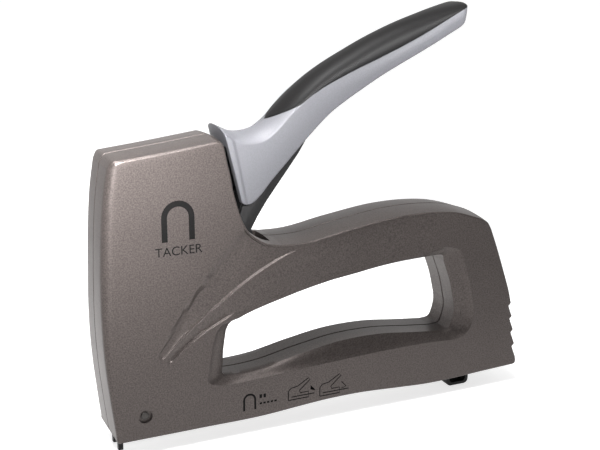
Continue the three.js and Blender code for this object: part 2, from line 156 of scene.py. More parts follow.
def applyPlace(piece):
    bpy.ops.object.select_all(action="DESELECT")
    piece.select_set(True)
    bpy.context.view_layer.objects.active = piece
    bpy.ops.object.transform_apply(location=True, rotation=True, scale=True)


def cutWith(piece, cutter, operation="DIFFERENCE"):
    mod = piece.modifiers.new("cut", "BOOLEAN")
    mod.operation = operation
    mod.solver = "EXACT"
    mod.object = cutter
    bpy.context.view_layer.objects.active = piece
    bpy.ops.object.modifier_apply(modifier=mod.name)
    bpy.data.objects.remove(cutter, do_unlink=True)


def boxPiece(name, low, high):
    bpy.ops.object.select_all(action="DESELECT")
    middle = [(low[k] + high[k]) / 2 * mm for k in range(3)]
    bpy.ops.mesh.primitive_cube_add(size=1, location=middle)
    piece = bpy.context.object
    piece.name = name
    piece.scale = [(high[k] - low[k]) * mm for k in range(3)]
    applyPlace(piece)
    return piece


def rodPiece(name, radius, yLow, yHigh, x, z, sides=48):
    bpy.ops.object.select_all(action="DESELECT")
    bpy.ops.mesh.primitive_cylinder_add(
        vertices=sides, radius=radius * mm, depth=(yHigh - yLow) * mm,
        location=(x * mm, (yLow + yHigh) / 2 * mm, z * mm), rotation=(math.pi / 2, 0, 0),
    )
    piece = bpy.context.object
    piece.name = name
    applyPlace(piece)
    return piece


def roundRims(offset, segments):
    # rounds only the rims of a rod, not the edges along it
    bpy.ops.object.mode_set(mode="EDIT")
    bpy.ops.mesh.select_mode(type="EDGE")
    bpy.ops.mesh.select_all(action="DESELECT")
    bpy.ops.mesh.edges_select_sharp(sharpness=math.radians(50))
    bpy.ops.mesh.bevel(offset=offset * mm, segments=segments, affect="EDGES")
    bpy.ops.mesh.select_mode(type="VERT")
    bpy.ops.object.mode_set(mode="OBJECT")


def slabPiece(name, outline, yLow, yHigh):
    # a side-view outline extruded across the tool
    bpy.ops.object.select_all(action="DESELECT")
    bpy.ops.mesh.primitive_circle_add(vertices=len(outline), radius=1, fill_type="NGON")
    piece = bpy.context.object
    piece.name = name
    for vertex, (x, z) in zip(piece.data.vertices, outline):
        vertex.co = (x * mm, yLow * mm, z * mm)
    bpy.ops.object.mode_set(mode="EDIT")
    bpy.ops.mesh.select_all(action="SELECT")
    bpy.ops.mesh.extrude_region_move(TRANSFORM_OT_translate={"value": (0, (yHigh - yLow) * mm, 0)})
    bpy.ops.mesh.select_all(action="SELECT")
    bpy.ops.mesh.normals_make_consistent(inside=False)
    bpy.ops.object.mode_set(mode="OBJECT")
    return piece


# housing halves

# each stretch of the ring between the outside and the hand opening: the outer edge on the seam,
# the lip where the side face turns into the opening, the opening's wall and how many steps;
# then, at its start, the crown of the rim, the rim's edge radius and the lip's depth
housingStretches = [
    dict(outer=[(-93, 6.8), (-60, 6.8), (-28, 7), (-15, 7.9), (-1.4, 8.7), (15, 8.8), (35, 7.6),
                (49.5, 6.8),
                (60, 6.9), (78, 7.6), (95, 8.2)],
         lip=[(-53.4, 25.2), (-49.2, 24.2), (-34.8, 24.3), (-12.1, 25.3), (11.6, 26.3), (36.2, 26.9),
              (54, 26.6), (62, 26)],
         wall=[(-46.4, 27), (-43, 26.8), (-31, 27.2), (-10.3, 30.8), (7.5, 33.3), (25.8, 33.4),
               (44.7, 31.2), (57, 29.8)],
         steps=130, crown=0, edge=0.6, depth=4),
    dict(outer=[(95, 8.2), (96.4, 8.6), (97, 9.9)], lip=[(62, 26), (68, 27.6), (70.6, 30.4)],
         wall=[(57, 29.8), (61.6, 30.6), (63.2, 34)], steps=8, crown=0.1, edge=0.7, depth=4),
    dict(outer=[(97, 9.9), (92.9, 39.4)], lip=[(70.6, 30.4), (72, 34.4), (72.2, 39.2)],
         wall=[(63.2, 34), (64, 38), (63.8, 42)], steps=72, crown=0.3, edge=0.8, depth=4),
    dict(outer=[(92.9, 39.4), (91.8, 44), (88, 55.8), (83, 70), (80.6, 76.2)],
         lip=[(72.2, 39.2), (69.7, 50.9), (66.4, 62)],
         wall=[(63.8, 42), (61.2, 52.8), (57.6, 62.6)], steps=44, crown=0.5, edge=0.9, depth=4),
    dict(outer=[(80.6, 76.2), (78.6, 79.6), (74.8, 82.2)], lip=[(66.4, 62), (63.6, 68), (56.6, 70.6)],
         wall=[(57.6, 62.6), (56.4, 65.8), (52.6, 66.8)], steps=14, crown=1, edge=0.9, depth=3.6),
    dict(outer=[(74.8, 82.2), (62, 86.4), (48, 88.1), (33.4, 88.1), (9.5, 85.2), (-13.4, 81.8),
                (-22, 82)],
         lip=[(56.6, 70.6), (50, 69), (40, 67.3), (27, 66.4), (13.5, 64.6), (-0.2, 62.8), (-13.6, 60.2),
              (-20, 58.7)],
         wall=[(52.6, 66.8), (45, 66.6), (27, 65.7), (13.5, 63.9), (-0.2, 62.1), (-13.6, 59.5),
               (-20, 58)],
         steps=100, crown=1.2, edge=0.8, depth=2),
    dict(outer=[(-22, 82), (-28.4, 83.4), (-32.4, 85.8), (-35.6, 88.6), (-38, 92.6), (-39.6, 96.6),
                (-41.1, 101.5)],
         lip=[(-20, 58.7), (-27.5, 56.9), (-34, 55.2)],
         wall=[(-20, 58), (-27.5, 56.2), (-34, 54.5)], steps=44, crown=1, edge=0.8, depth=0.8),
    dict(outer=[(-41.1, 101.5), (-42.3, 106.5), (-43.2, 112), (-44.5, 118), (-45.5, 123.2)],
         lip=[(-34, 55.2), (-38.8, 53.9)], wall=[(-34, 54.5), (-38.6, 53.1)],
         steps=30, crown=0.4, edge=0.8, depth=0.8),
    dict(outer=[(-45.5, 123.2), (-46.4, 126), (-49, 127.4)],
         lip=[(-38.8, 53.9), (-41.6, 53)], wall=[(-38.6, 53.1), (-40.9, 52.2)],
         steps=12, crown=0.5, edge=0.8, depth=0.8),
    dict(outer=[(-49, 127.4), (-72.2, 124.8), (-87.6, 123.3)],
         lip=[(-41.6, 53), (-46.4, 51.6)], wall=[(-40.9, 52.2), (-43.6, 50.8)],
         steps=50, crown=1, edge=0.8, depth=1),
    dict(outer=[(-87.6, 123.3), (-90.9, 122.6), (-92.7, 119.6)],
         lip=[(-46.4, 51.6), (-49.4, 50.2)], wall=[(-43.6, 50.8), (-44.8, 49.2)],
         steps=14, crown=0.9, edge=1.2, depth=2.4),
    dict(outer=[(-92.7, 119.6), (-94.5, 109.5), (-96.4, 90), (-97.1, 77)],
         lip=[(-49.4, 50.2), (-51.4, 47.4)], wall=[(-44.8, 49.2), (-45.7, 46.8)],
         steps=50, crown=0.4, edge=3.3, depth=3.2),
    dict(outer=[(-97.1, 77), (-97.6, 60), (-97.5, 48), (-96.9, 36), (-95.8, 24), (-94.8, 14.5),
                (-94.2, 9.2)],
         lip=[(-51.4, 47.4), (-53.2, 40.7), (-55, 30)],
         wall=[(-45.7, 46.8), (-46.9, 38.3), (-47.4, 31)], steps=84, crown=0.4, edge=4.1, depth=3.6),
    dict(outer=[(-94.2, 9.2), (-93.9, 7.4), (-93, 6.8)], lip=[(-55, 30), (-55.2, 27), (-53.4, 25.2)],
         wall=[(-47.4, 31), (-47.6, 28.2), (-46.4, 27)], steps=8, crown=0.1, edge=1, depth=4),
]

housingForm = {
    "halfWidth": 13, "seamGap": 0.15, "seamBevel": 0.3,
    "crownSteps": 9, "edgeSteps": 7, "lipSteps": 7,
    "toothHeights": [17.3, 24.4, 31.2, 37.6], "toothDepth": 1.35, "toothPitch": 6.8,
    # the raised line that runs from the nose side of the opening up into the grip's top edge
    "ridge": [(-74.4, 39), (-64.5, 48.3), (-51, 58.6), (-31.5, 71.1), (-21.5, 75.9), (-8.5, 79.7)],
    # the soft start of the hollow above it
    "hollow": [(-76, 41.5), (-65.8, 57.8), (-58.1, 68.1), (-50.7, 77.6), (-42.5, 86.5), (-36, 94)],
    # the line below the ridge where its flank steps back to the side face
    "flank": [(-71.8, 36.6), (-64.8, 42.6), (-56, 48.4), (-47.2, 52.6), (-40, 56)],
    "hollowDepth": 2.1, "flankDepth": 1.15,
}


def ringStations():
    outer, lip, wall, settings = [], [], [], []
    following = housingStretches[1:] + housingStretches[:1]
    for stretch, after in zip(housingStretches, following):
        n = stretch["steps"]
        for line, key in ((outer, "outer"), (lip, "lip"), (wall, "wall")):
            line.append(smoothThrough(stretch[key], n + 1)[:-1])
        blend = np.linspace(0, 1, n + 1)[:-1, None]
        start = np.array([[stretch["crown"], stretch["edge"], stretch["depth"]]])
        end = np.array([[after["crown"], after["edge"], after["depth"]]])
        settings.append(start * (1 - blend) + end * blend)
    return [np.concatenate(part) for part in (outer, lip, wall, settings)]


def inwardNormals(points):
    # averaged over neighbours so that corners and teeth do not fold the rim
    smooth = sum(np.roll(points, k, axis=0) for k in range(-3, 4)) / 7
    along = np.roll(smooth, -1, axis=0) - np.roll(smooth, 1, axis=0)
    along /= np.linalg.norm(along, axis=1)[:, None]
    return np.stack([-along[:, 1], along[:, 0]], axis=1)


def cutTeeth(points):
    # saw teeth on the tail: each steps out sharply above its valley and slants back to the next one
    f = housingForm
    shaped = points.copy()
    for height in f["toothHeights"]:
        below = height - points[:, 1]
        onTooth = (points[:, 0] > 85) & (below > -1.2) & (below < f["toothPitch"] - 1.2)
        rise = np.clip(1 + below / 1.2, 0, 1)
        slant = np.clip(1 - below / (f["toothPitch"] - 1.4), 0, 1)
        depth = f["toothDepth"] * np.where(below < 0, rise, slant)
        shaped[:, 0] -= np.where(onTooth, depth, 0)
    return shaped


def signedDistance(x, z, line):
    # distance to a line, positive on its upper left, and how far along it (0 to 1)
    best = np.full(x.shape, 1e9)
    side = np.zeros(x.shape)
    place = np.zeros(x.shape)
    total = len(line) - 1
    for k in range(total):
        ax, az = line[k]
        dx, dz = line[k + 1] - line[k]
        t = np.clip(((x - ax) * dx + (z - az) * dz) / (dx * dx + dz * dz), 0, 1)
        px, pz = x - ax - t * dx, z - az - t * dz
        distance = np.hypot(px, pz)
        nearer = distance < best
        best = np.where(nearer, distance, best)
        side = np.where(nearer, np.sign(dx * pz - dz * px), side)
        place = np.where(nearer, (k + t) / total, place)
    return best * side, place


def sideRelief(x, z):
    # how far the side face lies in from its flat plane: the hollow above the ridge and the ridge's flank
    f = housingForm
    ridge = smoothThrough(f["ridge"], 60)
    hollow = smoothThrough(f["hollow"], 50)
    flank = smoothThrough(f["flank"], 50)
    above, along = signedDistance(x, z, ridge)
    fromHollow, _ = signedDistance(x, z, hollow)
    pastFlank, alongFlank = signedDistance(x, z, flank)
    grown = smoothStep(along, 0.0, 0.3) * 0.75 + 0.25 * smoothStep(along, 0.0, 0.02)
    fade = 1 - smoothStep(along, 0.72, 1.0)
    # hollow: fades in below its upper line, then is held up to the ridge's crisp step
    inside = np.clip(-fromHollow, 0, None)
    share = inside / (inside + np.clip(above, 0.001, None))
    bowl = smoothStep(share, 0.0, 0.24) * (1 - 0.5 * smoothStep(share, 0.3, 1.0))
    step = smoothStep(above, 0.0, 0.7)
    hollowDepth = f["hollowDepth"] * bowl * step * grown * fade * (above > 0) * (fromHollow < 0)
    # flank: slopes in from the ridge and steps back out at its lower line
    below = np.clip(-above, 0, None)
    toFlank = np.clip(pastFlank, 0, None)
    across = below / (below + toFlank + 0.001)
    onFlank = (above < 0) & (pastFlank > 0) & (alongFlank < 0.999)
    start = smoothStep(along, 0.0, 0.06)
    flankDepth = f["flankDepth"] * across * smoothStep(toFlank, 0.0, 0.8) * start * onFlank
    flankDepth = flankDepth * (1 - smoothStep(alongFlank, 0.8, 0.998))
    # behind the flank's end the same slope runs on as the grip's side
    lengthways = smoothStep(x, -50, -38) * (1 - smoothStep(x, 20, 62))
    gripSlope = f["flankDepth"] * lengthways * smoothStep(z, 50, 56)
    behind = (alongFlank >= 0.8) | (x > -50)
    gripDepth = gripSlope * np.clip(below / 20, 0, 1) * behind * (above < 0)
    return hollowDepth + np.maximum(flankDepth, gripDepth)


def featureColumns(edge, lip, line, share):
    # where each station's section crosses a raised line, as a share of the way from the edge to the lip
    along = np.linspace(0, 1, 401)
    found = np.full(len(edge), np.nan)
    curve = smoothThrough(line, 80)
    for k in range(len(edge)):
        points = edge[k] * (1 - along[:, None]) + lip[k] * along[:, None]
        side, place = signedDistance(points[:, 0], points[:, 1], curve)
        change = np.nonzero((side[:-1] > 0) & (side[1:] <= 0) & (place[1:] > 0) & (place[1:] < 1))[0]
        if len(change):
            found[k] = along[change[0]]
    known = np.nonzero(~np.isnan(found))[0]
    # stations away from the line ease back to the plain spacing
    ease = 36
    ends = [known[0] - ease, known[-1] + ease]
    spots = np.concatenate([[0, ends[0]], known, [ends[1], len(edge) - 1]])
    values = np.concatenate([[share, share], found[known], [share, share]])
    return np.interp(np.arange(len(edge)), spots, values)


def sideColumns(edge, lip):
    # the share of the way from edge to lip for every column, bunched at the ridge and at its flank
    f = housingForm
    length = np.linalg.norm(lip - edge, axis=1)[:, None]
    ridge = featureColumns(edge, lip, f["ridge"], 0.36)[:, None]
    flank = featureColumns(edge, lip, f["flank"], 0.68)[:, None]
    near = 0.25 / length
    ridge = np.clip(ridge, 12 * near, 1 - 14 * near)
    flank = np.clip(np.maximum(flank, ridge + 6 * near), 0, 1 - 3 * near)
    marks = [0 * near, ridge - 3 * near, ridge - near, ridge, ridge + near, ridge + 3 * near]
    marks += [flank - 2.4 * near, flank - near, flank, flank + near, flank + 2.4 * near, 1 + 0 * near]
    counts = [26, 4, 4, 3, 3, 14, 3, 3, 3, 3, 14]
    parts = []
    for start, end, count in zip(marks, marks[1:], counts):
        parts.append(start + (end - start) * np.linspace(0, 1, count + 1)[None, 1:])
    return np.maximum.accumulate(np.concatenate(parts, axis=1), axis=1)


def castingRing(name):
    # the left half's outer surface: seam, crowned rim, edge, sculpted side, lip and opening wall
    f = housingForm
    outer, lip, wall, settings = ringStations()
    outer = cutTeeth(outer)
    inward = inwardNormals(outer)
    crown, edge, depth = [settings[:, k : k + 1] for k in range(3)]
    half, gap, bevel = f["halfWidth"], f["seamGap"], f["seamBevel"]
    columns = []

    def addColumn(flat, y):
        columns.append(np.concatenate([flat[:, :1], np.broadcast_to(y, (len(flat), 1)),
                                       flat[:, 1:]], axis=1))

    addColumn(outer + inward * bevel, -gap)
    for s in np.linspace(0, 1, f["crownSteps"]):
        y = -(gap + bevel) + s * (-(half - edge) + gap + bevel)
        addColumn(outer + inward * crown * (y / half) ** 2, y)
    rimDrop = crown * ((half - edge) / half) ** 2
    for angle in np.linspace(0, math.pi / 2, f["edgeSteps"])[1:]:
        drop = rimDrop + edge * (1 - math.cos(angle))
        addColumn(outer + inward * drop, -(half - edge) - edge * math.sin(angle))
    sideEdge = outer + inward * (rimDrop + edge)
    shares = sideColumns(sideEdge, lip)
    for k in range(shares.shape[1]):
        s = shares[:, k : k + 1]
        flat = sideEdge * (1 - s) + lip * s
        addColumn(flat, (-half + sideRelief(flat[:, 0], flat[:, 1]))[:, None])
    lipY = columns[-1][:, 1:2]
    wallY = np.maximum(lipY + 0.6, -half + depth)
    for s in np.linspace(0, 1, f["lipSteps"])[1:]:
        eased = s + 0.12 * math.sin(math.pi * s) * (1 - 2 * s)
        addColumn(lip * (1 - s) + wall * s, lipY * (1 - eased) + wallY * eased)
    for s in np.linspace(0, 1, 4)[1:]:
        addColumn(wall, wallY * (1 - s) - (gap + bevel) * s)
    addColumn(wall - inwardNormals(wall) * bevel, -gap)
    columns.append(columns[0])
    places = np.stack(columns, axis=1)
    places = np.concatenate([places, places[:1]], axis=0)
    return loftGrid(name, places)


# Rooms inside the casting and the places where pieces show through it, in the side view.
housingRooms = {
    "chamber": [(-92, 9.2), (-92, 62), (-91.6, 80), (-89.6, 104), (-87.6, 119.6), (-50, 124.2),
                (-48.2, 121), (-46.4, 111),
                (-44.4, 101.5), (-42.6, 94.5), (-40, 88.5), (-36.6, 84), (-31.4, 80.6), (-24, 79.2),
                (-12.5, 78.8),
                (-12.5, 62.6), (-27.5, 59.2), (-38, 56.8), (-43.6, 54.4), (-48.2, 50), (-50, 39),
                (-50.4, 24), (-50.4, 9.2)],
    "grip": [(-5.5, 64.2), (13, 67), (27, 68.7), (45, 69.5), (54, 69.5), (60.2, 64.8), (64.3, 53.5),
             (66.9, 42), (66.4, 33),
             (63, 28), (89, 28.5), (88.6, 39), (87.4, 44), (83.8, 54.6), (79, 67), (75.8, 75.2),
             (68.8, 79.8), (60, 81.8),
             (47.6, 83.5), (33.6, 83.6), (10, 80.8), (-5.5, 78.8)],
    "wall": 2.5,
    "bay": ((-60, -10.5, 9.2), (110, 10.5, 24)),
    "nose": ((-92, -8.6, 0), (-79, 8.6, 12)),
    "tab": ((61.5, -7.2, 0), (110, 7.2, 12)),
    "handle": ((-47.5, -8, 70), (-25.3, 8, 97)),
    "pinRecess": (-82.1, 16.7, 2.9, 1.2),
    "screws": [(-54, 117), (-57, 35), (-9, 71.5), (74, 71), (79, 34)],
    "counterbore": (4.1, 10.1),
}


def hollowOut(half, side):
    r = housingRooms
    inner = housingForm["halfWidth"] - r["wall"]
    cutWith(half, slabPiece("chamberCutter", r["chamber"], -inner, inner))
    cutWith(half, slabPiece("gripCutter", r["grip"], -inner, inner))
    for key in ("bay", "nose", "tab", "handle"):
        cutWith(half, boxPiece(key + "Cutter", *r[key]))
    x, z, radius, depth = r["pinRecess"]
    face = housingForm["halfWidth"]
    yEnds = sorted((side * (face - depth), side * (face + 3)))
    cutWith(half, rodPiece("recessCutter", radius, yEnds[0], yEnds[1], x, z))
    if side > 0:
        radius, depth = r["counterbore"]
        for x, z in r["screws"]:
            cutWith(half, rodPiece("boreCutter", radius, depth, face + 3, x, z))


housing = castingRing("left_casting")
bpy.ops.object.select_all(action="DESELECT")
housing.select_set(True)
bpy.context.view_layer.objects.active = housing
bpy.ops.object.duplicate()
rightHousing = bpy.context.object
rightHousing.name = rightHousing.data.name = "right_casting"
rightHousing.scale = (1, -1, 1)
applyPlace(rightHousing)
bpy.ops.object.mode_set(mode="EDIT")
bpy.ops.mesh.select_all(action="SELECT")
bpy.ops.mesh.normals_make_consistent(inside=False)
bpy.ops.object.mode_set(mode="OBJECT")
hollowOut(housing, -1)
hollowOut(rightHousing, 1)
for piece, node in ((housing, "left_housing"), (rightHousing, "right_housing")):
    smoothByAngle(piece, 30)
    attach(piece, "housing")
    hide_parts(node)
    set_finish(piece, "casting")
print("castings:", len(housing.data.polygons), "and", len(rightHousing.data.polygons), "faces")


# handle: silver shell and soft grip

handleForm = {
    "halfWidth": 9.2, "lipWidth": 10, "lipThickness": 2.4, "coveRadius": 2.2,
    "domePower": 2.2, "crestPower": 1.75, "lipRound": 0.7, "stations": 150, "endRadius": 3.2,
    "rounderFrom": (6, 18), "rounderTo": (40, 62),  # distances from the lip
    # crest of the handle on its middle line, and the underside, from the lip to the end
    "crest": [(-45.6, 130.8), (-42.8, 129.4), (-39.9, 128), (-36.6, 127.2), (-32.5, 127.3),
              (-28.3, 128.5), (-24.1, 131.2),
              (-19.9, 134.8), (-11.9, 142), (-4, 147.8), (4.1, 152.6), (12.3, 156.8), (20.5, 160.8),
              (28.8, 164.3),
              (37.2, 167.4), (45.7, 170), (54.3, 172.4), (61.5, 174), (66.6, 174.8)],
    "under": [(-38, 99.8), (-36.4, 98.9), (-34.4, 98.6), (-32.4, 99.4), (-30.2, 101.2), (-25.2, 106.8),
              (-18.5, 113.7),
              (-12.5, 119.9), (-5.5, 126.8), (1.5, 133), (9, 137.9), (16.8, 142.4), (24.8, 146.8),
              (33, 150.8),
              (41.3, 154.7), (49.6, 158.7), (57.4, 162.7), (62.2, 165.2), (65.2, 167.6)],
    # where the side turns into the dome; the grip's lower edge lies on it
    "shoulder": [(-46, 128.4), (-43.4, 126.4), (-40.4, 124.6), (-36.6, 123.4), (-32, 123), (-27.5, 124),
                 (-22.6, 127),
                 (-17.6, 132), (-9.1, 139.2), (-1.2, 143.6), (6.8, 147), (14, 149.9), (22.9, 153.2),
                 (31, 156.4),
                 (39.4, 160), (48, 164.1), (56.1, 168.4), (67.5, 174.4)],
    "hollow": [(59, 150), (59, 165.8), (39.6, 158.6), (24, 151.4), (8, 144.6), (-8, 137.7),
               (-18.6, 130.7), (-23.4, 127),
               (-28, 124.2), (-33, 122.9), (-38, 122.8), (-60, 122.8), (-60, 90), (-10, 90)],
    "gripStart": 0.335, "gripGrowth": 15.5, "gripProud": 0.35, "gripSteps": 120,
}


def handleLines():
    f = handleForm
    n = f["stations"]
    crest = smoothThrough(f["crest"], 400)
    under = smoothThrough(f["under"], 400)
    # stations pair the control points of the two lines, so each section crosses the handle squarely
    pairs = np.linspace(0, 1, len(f["crest"]))
    def paired(line, dense):
        steps = np.linalg.norm(np.diff(np.array(line, float), axis=0), axis=1)
        length = np.concatenate([[0], np.cumsum(steps)])
        share = np.interp(np.linspace(0, 1, n), pairs, length / length[-1])
        at = np.linspace(0, 1, len(dense))
        return np.stack([np.interp(share, at, dense[:, 0]), np.interp(share, at, dense[:, 1])], axis=1)
    top, bottom = paired(f["crest"], crest), paired(f["under"], under)
    shoulder = smoothThrough(f["shoulder"], 400)
    across = np.linspace(0.3, 1, 500)
    meet = []
    for t, b in zip(top, bottom):
        points = b * (1 - across[:, None]) + t * across[:, None]
        above = points[:, 1] - np.interp(points[:, 0], shoulder[:, 0], shoulder[:, 1])
        k = int(np.argmax(above > 0)) if (above > 0).any() else len(across) - 1
        meet.append(points[k])
    kernel = np.ones(5) / 5
    meet = np.array(meet)
    padded = np.pad(meet, ((2, 2), (0, 0)), mode="edge")
    meet = np.stack([np.convolve(padded[:, k], kernel, mode="valid") for k in range(2)], axis=1)
    return top, meet, bottom


def roundedEnd(distance, radius):
    # how far a rounded end draws the side in, at a distance from that end
    return radius * (1 - np.sqrt(np.clip(1 - (1 - np.clip(distance / radius, 0, 1)) ** 2, 0, 1)))


def handleWidth(distanceFromLip, distanceToEnd):
    # half the handle's width: lip, cove behind it, plain side, rounded end
    f = handleForm
    r = f["coveRadius"]
    past = np.clip((distanceFromLip - f["lipThickness"]) / r, 0, 1)
    cove = (f["lipWidth"] - f["halfWidth"]) * (0.5 + 0.5 * np.cos(math.pi * past))
    lipEdge = roundedEnd(distanceFromLip, f["lipRound"])
    rounded = roundedEnd(distanceToEnd, f["endRadius"])
    return f["halfWidth"] + np.where(past <= 0, f["lipWidth"] - f["halfWidth"], cove) - lipEdge - rounded


def domePowers(travelled):
    # the dome is rounder where the grip's tip begins, and flatter along the grip
    f = handleForm
    rounder = smoothStep(travelled, *f["rounderFrom"]) * (1 - smoothStep(travelled, *f["rounderTo"]))
    return f["domePower"] + (f["crestPower"] - f["domePower"]) * rounder


def domePoint(shoulder, top, share, power):
    # height over the shoulder for a place across the handle, share 0 in the middle and 1 at the side
    rise = (1 - np.abs(share) ** power) ** (1 / power)
    return shoulder + (top - shoulder) * rise


def leverShell():
    f = handleForm
    top, shoulder, bottom = handleLines()
    middle = (top + bottom) / 2
    travelled = np.concatenate([[0], np.cumsum(np.linalg.norm(np.diff(middle, axis=0), axis=1))])
    width = handleWidth(travelled, travelled[-1] - travelled)
    powers = domePowers(travelled)
    sections = []
    for k in range(len(top)):
        t, s, b, w = top[k], shoulder[k], bottom[k], width[k]
        up = (s - b) / max(np.linalg.norm(s - b), 0.01)
        half = [(np.array([b[0], 0.0, b[1]]))]
        corner = 0.8
        for angle in np.linspace(0, math.pi / 2, 5):
            flat = b + up * corner * (1 - math.cos(angle))
            half.append(np.array([flat[0], -(w - corner + corner * math.sin(angle)), flat[1]]))
        for share in np.linspace(0, 1, 15)[1:]:
            flat = b + up * corner + (s - b - up * corner) * share
            half.append(np.array([flat[0], -w - 0.25 * math.sin(math.pi * share), flat[1]]))
        for angle in np.linspace(0, math.pi / 2, 25)[1:]:
            share = math.cos(angle) ** (2 / powers[k])
            rise = math.sin(angle) ** (2 / powers[k])
            flat = s + (t - s) * rise
            half.append(np.array([flat[0], -w * share, flat[1]]))
        other = [p * np.array([1, -1, 1]) for p in half[-2:0:-1]]
        sections.append(np.array(half + other + [half[0]]))
    sections = np.array(sections)
    # close each end with a slightly crowned face
    def cap(ring, outwards):
        centre = ring.mean(axis=0)
        rings = ((0.97, 0.12), (0.6, 0.2), (0.0, 0.2))
        return [centre + (ring - centre) * scale + outwards * push for scale, push in rings]
    first, last = sections[0], sections[-1]
    front = cap(first, np.array([-1.0, 0, 0.2]) * 0.5)
    back = cap(last, np.array([1.0, 0, 0.2]))
    places = np.concatenate([np.array(front[::-1]), sections, np.array(back)], axis=0)
    shell = loftGrid("handle_shell", places)
    cutWith(shell, slabPiece("shellCutter", f["hollow"], -7.4, 7.4))
    return shell, top, shoulder, width, powers


shell, handleTop, handleShoulder, handleHalf, handlePowers = leverShell()
smoothByAngle(shell, 35)
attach(shell, "lever")
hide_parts("lever_shell")
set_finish(shell, "silver_handle")


def softGrip():
    # a leaf-shaped pad on the dome: its edge tucks in at the silver, its middle stands a little proud
    f = handleForm
    n = len(handleTop)
    first = int(f["gripStart"] * n)
    stations = np.linspace(first, n - 1.001, f["gripSteps"])
    low = np.floor(stations).astype(int)
    part = (stations - low)[:, None]
    high = np.minimum(low + 1, n - 1)
    top = handleTop[low] * (1 - part) + handleTop[high] * part
    shoulder = handleShoulder[low] * (1 - part) + handleShoulder[high] * part
    half = (handleHalf[low] * (1 - part[:, 0]) + handleHalf[high] * part[:, 0]) - 0.02
    power = (handlePowers[low] * (1 - part[:, 0]) + handlePowers[high] * part[:, 0])[:, None]
    travelled = np.concatenate([[0], np.cumsum(np.linalg.norm(np.diff(top, axis=0), axis=1))])
    grown = (1 - (1 - np.clip(travelled / f["gripGrowth"], 0, 1)) ** 2) ** 0.85
    leaf = np.maximum(half * grown, 0.01)
    across = np.sin(np.linspace(-math.pi / 2, math.pi / 2, 49))
    along = np.gradient(top, axis=0)
    along /= np.linalg.norm(along, axis=1)[:, None]
    normal = np.stack([-along[:, 1], along[:, 0]], axis=1)
    toEnd = travelled[-1] - travelled
    edgeEase = smoothStep(travelled, 0, 3) * smoothStep(toEnd, 0, 2)
    upper = []
    for share in across:
        y = leaf * share
        flat = domePoint(shoulder, top, np.clip(np.abs(y) / (half + 0.02), 0, 1)[:, None], power)
        proud = f["gripProud"] * (1 - abs(share) ** 6) * edgeEase + 0.05
        flat = flat + normal * proud[:, None]
        upper.append(np.stack([flat[:, 0], y, flat[:, 1]], axis=1))
    lower = []
    for share in across[-2:0:-1]:
        y = leaf * share * 0.96
        flat = domePoint(shoulder, top, np.clip(np.abs(y) / (half + 0.02), 0, 1)[:, None], power)
        flat = flat - normal * 0.5
        lower.append(np.stack([flat[:, 0], y, flat[:, 1]], axis=1))
    places = np.stack(upper + lower + [upper[0]], axis=1)
    centre = lambda row: np.repeat(row.mean(axis=0, keepdims=True), len(row), axis=0)
    places = np.concatenate([[centre(places[0])], places, [centre(places[-1])]], axis=0)
    return loftGrid("soft_grip", places)


grip = softGrip()
smoothByAngle(grip, 40)
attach(grip, "lever")
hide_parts("grip_cover")
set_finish(grip, "soft_grip")
print("handle shell and grip:", len(shell.data.polygons), len(grip.data.polygons), "faces")


# pieces that keep their made shape, with their edges broken

brokenEdges = {
    "lever_channel": ("lever", "black_steel", 0.35), "nose_guide": ("housing", "black_steel", 0.25),
    "magazine_tab": ("magazine", "black_steel", 0.4), "magazine_end": ("magazine", "black_plastic", 0.4),
    "magazine_track": ("housing", "steel", 0.15), "magazine_rail": ("magazine", "steel", 0.15),
    "pusher": ("pusher", "black_plastic", 0.3), "staple_strip": ("magazine", "zinc", 0.1),
    "hammer": ("hammer", "steel", 0.4), "driver_blade": ("hammer", "steel", 0.1),
    "bumper": ("housing", "rubber_pad", 0.5), "detent_leaf": ("housing", "spring_steel", 0.05),
    "blade_guide": ("housing", "steel", 0.15), "spring_cap": ("housing", "steel", 0.3),
}


def brokenEdgeCopy(node, body, slotName, width):
    original = frame["nodes"][node]
    bpy.ops.object.select_all(action="DESELECT")
    bpy.ops.mesh.primitive_cube_add(size=0.01)
    piece = bpy.context.object
    piece.name = piece.data.name = node + "_made"
    piece.data = original.data.copy()
    piece.data.name = node + "_made"
    bpy.ops.object.mode_set(mode="EDIT")
    bpy.ops.mesh.select_all(action="SELECT")
    bpy.ops.mesh.remove_doubles(threshold=0.00001)
    bpy.ops.mesh.customdata_custom_splitnormals_clear()
    bpy.ops.mesh.dissolve_limited(angle_limit=math.radians(2))
    bpy.ops.mesh.normals_make_consistent(inside=False)
    bpy.ops.object.mode_set(mode="OBJECT")
    bevel = piece.modifiers.new("edges", "BEVEL")
    bevel.width = width * mm
    bevel.segments = 2
    bevel.limit_method = "ANGLE"
    bevel.angle_limit = math.radians(35)
    bpy.ops.object.modifier_apply(modifier=bevel.name)
    smoothByAngle(piece, 40)
    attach(piece, body)
    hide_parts(node)
    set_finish(piece, slotName)
    return piece


made = {node: brokenEdgeCopy(node, *how) for node, how in brokenEdges.items()}
print("broken-edge pieces:", len(made))


# screws and pins

screwForm = {
    "headRadius": 3.8, "under": 10.3, "top": 12.4, "shaft": 1.5, "shaftEnd": -9,
    "crossWidth": 1.0, "crossSpan": 4.6, "crossDepth": 1.1,
}


